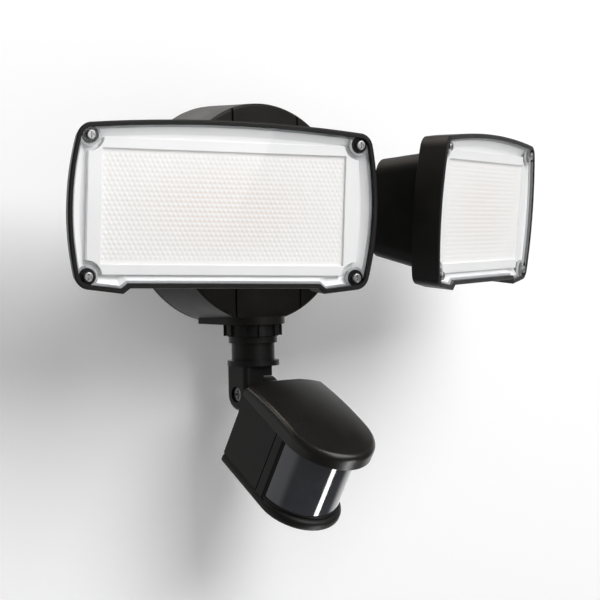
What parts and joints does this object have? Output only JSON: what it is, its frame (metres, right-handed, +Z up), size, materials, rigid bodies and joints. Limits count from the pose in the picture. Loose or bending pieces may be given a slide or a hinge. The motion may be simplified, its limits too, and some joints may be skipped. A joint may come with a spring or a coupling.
{
  "type": "motion sensor security light",
  "caption": "Wall security light: round canopy, two flood heads that turn and tilt on bolted arms, and a motion sensor on a turning, tilting neck below.",
  "frame": {"origin": "middle of the junction box strap, on the wall", "axes": "+Z up, +X to the right as seen from in front, +Y into the wall; the light stands out towards -Y"},
  "size_m": [0.3521, 0.1643, 0.2452],
  "materials": {
    "black_plastic": "satin moulded black",
    "black_cast": "black powder coat on die-cast aluminium",
    "dark_window": "glossy, near-black, infrared-clear",
    "clear_cover": "clear polycarbonate",
    "diffuser_panel": "prismatic, translucent white",
    "white_reflector": "moulded white",
    "steel_screws": "stainless",
    "zinc_steel": "zinc plated",
    "brass_screw": "green earth screw",
    "rubber_seal": "matte",
    "foam_seal": "closed-cell foam",
    "bare_aluminium": "plain",
    "board_white": "white solder mask",
    "board_green": "green solder mask",
    "led_yellow": "phosphor",
    "driver_case": "satin",
    "terminal_plastic": "natural",
    "dial_grey": "satin"
  },
  "bodies": {
    "base": {"canopy_housing": "black_plastic", "wall_gasket": "foam_seal", "strap": "zinc_steel", "canopy_bolt": "zinc_steel", "bolt_washer": "rubber_seal", "ground_screw": "brass_screw", "driver_box": "driver_case", "terminal_block": "terminal_plastic", "left_bracket": "black_cast", "left_bracket_screws": "steel_screws", "left_pan_bolt": "steel_screws", "left_pan_nut": "steel_screws", "right_bracket": "black_cast", "right_bracket_screws": "steel_screws", "right_pan_bolt": "steel_screws", "right_pan_nut": "steel_screws"},
    "left_arm": {"left_arm": "black_cast"},
    "right_arm": {"right_arm": "black_cast"},
    "left_head": {"left_housing": "black_cast", "left_heat_plate": "bare_aluminium", "left_led_board": "board_white", "left_leds": "led_yellow", "left_reflector": "white_reflector", "left_diffuser": "diffuser_panel", "left_cover_gasket": "rubber_seal", "left_cover": "clear_cover", "left_cover_screws": "steel_screws", "left_tilt_bolt": "steel_screws", "left_tilt_nut": "steel_screws"},
    "right_head": {"right_housing": "black_cast", "right_heat_plate": "bare_aluminium", "right_led_board": "board_white", "right_leds": "led_yellow", "right_reflector": "white_reflector", "right_diffuser": "diffuser_panel", "right_cover_gasket": "rubber_seal", "right_cover": "clear_cover", "right_cover_screws": "steel_screws", "right_tilt_bolt": "steel_screws", "right_tilt_nut": "steel_screws"},
    "sensor_locknut": {"sensor_locknut": "black_plastic"},
    "sensor_neck": {"sensor_neck": "black_plastic", "sensor_pivot_screw": "steel_screws", "sensor_pivot_nut": "steel_screws"},
    "sensor_head": {"sensor_body": "black_plastic", "sensor_frame": "black_plastic", "sensor_lens": "dark_window", "sensor_seal": "rubber_seal", "sensor_cap": "black_plastic", "sensor_base": "black_plastic", "sensor_base_screws": "steel_screws", "sensor_board": "board_green", "sensor_detector": "steel_screws"},
    "time_dial": {"time_dial": "dial_grey"},
    "range_dial": {"range_dial": "dial_grey"}
  },
  "joints": [
    {"name": "left_pan", "type": "hinge", "parent": "base", "child": "left_arm", "pos_m": [-0.0689, -0.0532, 0.0032], "axis": [0.0314, 0, 0.9995], "range_deg": [-52, 5]},
    {"name": "left_tilt", "type": "hinge", "parent": "left_arm", "child": "left_head", "pos_m": [-0.07306, -0.07123, 0.00333], "axis": [0.9739, -0.225, -0.0306], "range_deg": [-23, 47]},
    {"name": "right_pan", "type": "hinge", "parent": "base", "child": "right_arm", "pos_m": [0.0689, -0.0532, 0.0032], "axis": [0, 0, 1], "range_deg": [-13, 37]},
    {"name": "right_tilt", "type": "hinge", "parent": "right_arm", "child": "right_head", "pos_m": [0.07744, -0.06961, 0.0032], "axis": [0.887, 0.4617, 0], "range_deg": [-25, 45]},
    {"name": "sensor_locknut_turn", "type": "hinge", "parent": "base", "child": "sensor_locknut", "pos_m": [0, -0.0315, -0.0652], "axis": [0, 0, 1], "range_deg": [0, 180]},
    {"name": "sensor_pan", "type": "hinge", "parent": "base", "child": "sensor_neck", "pos_m": [0, -0.0315, -0.076], "axis": [0, 0, 1], "range_deg": [-75, 75]},
    {"name": "sensor_tilt", "type": "hinge", "parent": "sensor_neck", "child": "sensor_head", "pos_m": [0, -0.0315, -0.106], "axis": [1, 0, 0], "range_deg": [-32, 38]},
    {"name": "time_dial_turn", "type": "hinge", "parent": "sensor_head", "child": "time_dial", "pos_m": [-0.009, -0.06033, -0.12402], "axis": [0, -0.5299, 0.848], "range_deg": [-135, 135]},
    {"name": "range_dial_turn", "type": "hinge", "parent": "sensor_head", "child": "range_dial", "pos_m": [0.009, -0.06033, -0.12402], "axis": [0, -0.5299, 0.848], "range_deg": [-135, 135]}
  ]
}
